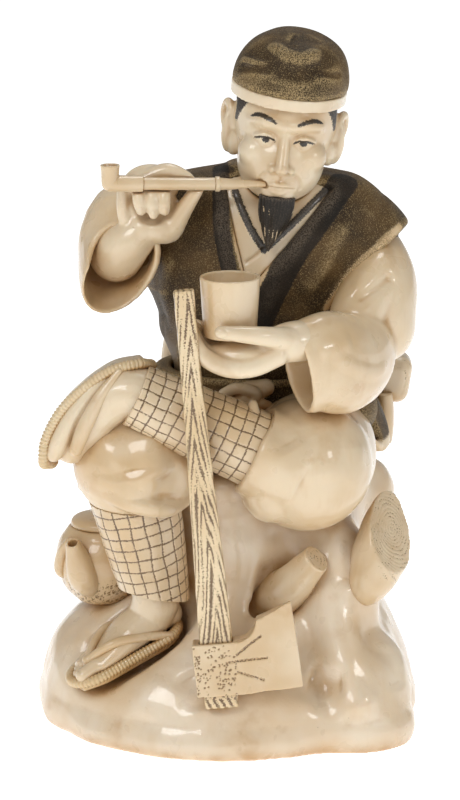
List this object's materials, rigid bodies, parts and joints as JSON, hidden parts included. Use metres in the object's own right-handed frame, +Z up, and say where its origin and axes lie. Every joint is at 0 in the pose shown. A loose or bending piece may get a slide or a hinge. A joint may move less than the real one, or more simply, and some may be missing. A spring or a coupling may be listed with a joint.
{
  "type": "okimono carving",
  "caption": "Free-standing carved figure of a seated woodcutter on a stump, with a lift-off cup, a pipe that draws out of the hand and an axe that pulls off its peg.",
  "frame": {"origin": "middle of the mound's flat underside", "axes": "+Z up; the figure faces -Y; +X is the viewer's right"},
  "size_m": [0.1153, 0.1046, 0.1983],
  "materials": {
    "ivory": "polished cream carving material with tan patina in the hollows",
    "netted_ivory": "polished cream with a dark engraved net",
    "brown_cloth": "brown stained stippling, satin",
    "black_hair": "black stained strands, satin",
    "engraved_haft": "polished cream with dark engraved wood grain",
    "dowel": "turned, unpolished"
  },
  "bodies": {
    "figure": {"stump_base": "ivory", "base_plug": "ivory", "front_branch_stub": "ivory", "side_branch_stub": "ivory", "kettle": "ivory", "kettle_lid": "ivory", "kettle_spout": "ivory", "kettle_lug": "ivory", "kettle_peg": "dowel", "hips": "ivory", "seat_dowels": "dowel", "torso": "brown_cloth", "waist_dowels": "dowel", "under_robe": "ivory", "sash": "ivory", "sash_knot": "ivory", "jacket_tails": "brown_cloth", "back_bundle": "ivory", "waist_case": "ivory", "head": "ivory", "neck_dowel": "dowel", "cap": "brown_cloth", "cap_band": "ivory", "beard": "black_hair", "right_sleeve": "ivory", "left_sleeve": "ivory", "shoulder_dowels": "dowel", "right_hand": "ivory", "left_hand": "ivory", "right_trouser": "ivory", "left_trouser": "ivory", "thigh_dowels": "dowel", "right_gaiter": "netted_ivory", "left_gaiter": "netted_ivory", "right_foot": "ivory", "left_foot": "ivory", "right_sandal": "ivory", "left_sandal": "ivory", "right_thong": "ivory", "left_thong": "ivory", "cup_peg": "ivory", "axe_peg": "ivory"},
    "cup": {"cup": "ivory"},
    "axe": {"axe_head": "ivory", "axe_haft": "engraved_haft"},
    "pipe": {"pipe_bowl": "ivory", "pipe_stem": "ivory", "pipe_mouthpiece": "ivory"}
  },
  "joints": [
    {"name": "cup_lift", "type": "slide", "parent": "figure", "child": "cup", "axis": [0, 0, 1], "range_m": [0, 0.016]},
    {"name": "axe_pull", "type": "slide", "parent": "figure", "child": "axe", "axis": [0, -1, 0], "range_m": [0, 0.02]},
    {"name": "pipe_draw", "type": "slide", "parent": "figure", "child": "pipe", "axis": [-0.9912, -0.1289, 0.0297], "range_m": [0, 0.02]}
  ]
}
